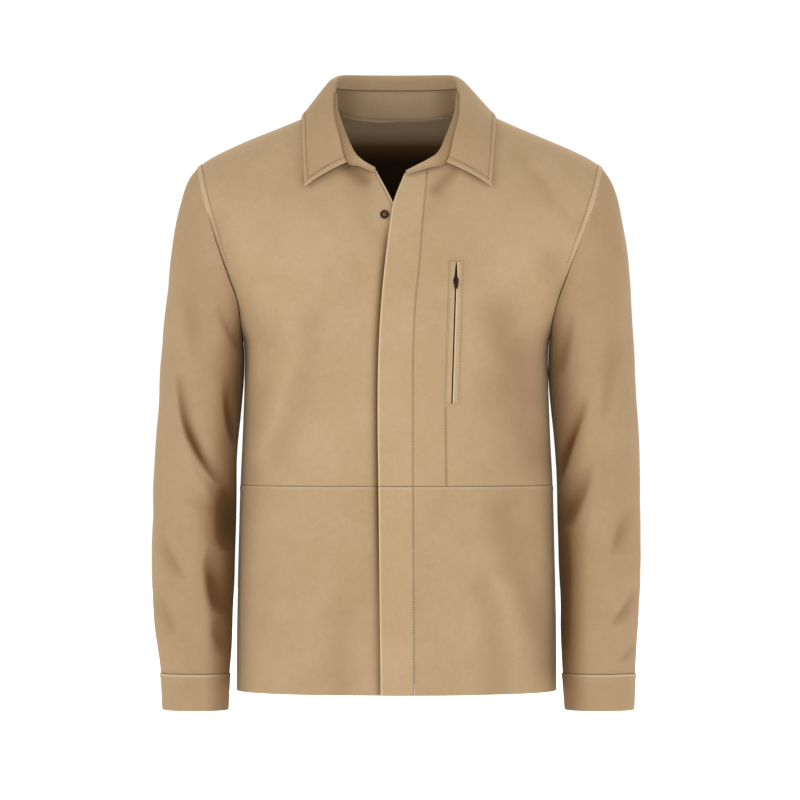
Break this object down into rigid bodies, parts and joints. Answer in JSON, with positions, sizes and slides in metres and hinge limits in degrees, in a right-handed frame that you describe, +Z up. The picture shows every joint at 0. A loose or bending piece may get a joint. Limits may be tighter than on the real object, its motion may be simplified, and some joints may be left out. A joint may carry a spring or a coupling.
{
  "type": "suede jacket",
  "caption": "Tan suede shirt jacket with a pointed collar, hidden-closure front band, waist seam, upright zipped chest pocket and plain cuffs, hollow as when worn.",
  "frame": {"origin": "middle of the neck at the height of the back neck seam, where a wearer's neck and shoulders carry the jacket", "axes": "+Z up the wearer, +X to the wearer's left, -Y the way the wearer faces"},
  "size_m": [0.5849, 0.2626, 0.7631],
  "materials": {
    "suede": "fine brushed nap, matte",
    "zip_tape": "woven tape with dark teeth",
    "dark_brass": "darkened, satin"
  },
  "bodies": {
    "jacket": {"back": "suede", "front_right_upper": "suede", "front_right_lower": "suede", "front_left_upper": "suede", "front_left_lower": "suede", "placket_upper": "suede", "placket_lower": "suede", "sleeve_right": "suede", "sleeve_left": "suede", "cuff_right": "suede", "cuff_left": "suede", "collar_stand": "suede", "collar_leaf": "suede", "pocket_jet_inner": "suede", "pocket_jet_outer": "suede", "pocket_zip": "zip_tape", "zip_slider": "dark_brass", "snap_stud": "dark_brass"},
    "pull_tab": {"zip_pull": "dark_brass"}
  },
  "joints": [
    {"name": "pull_tab_hinge", "type": "hinge", "parent": "jacket", "child": "pull_tab", "pos_m": [0.07036, -0.13075, -0.19564], "axis": [-0.9865, -0.1636, 0.0052], "range_deg": [0, 150]}
  ]
}
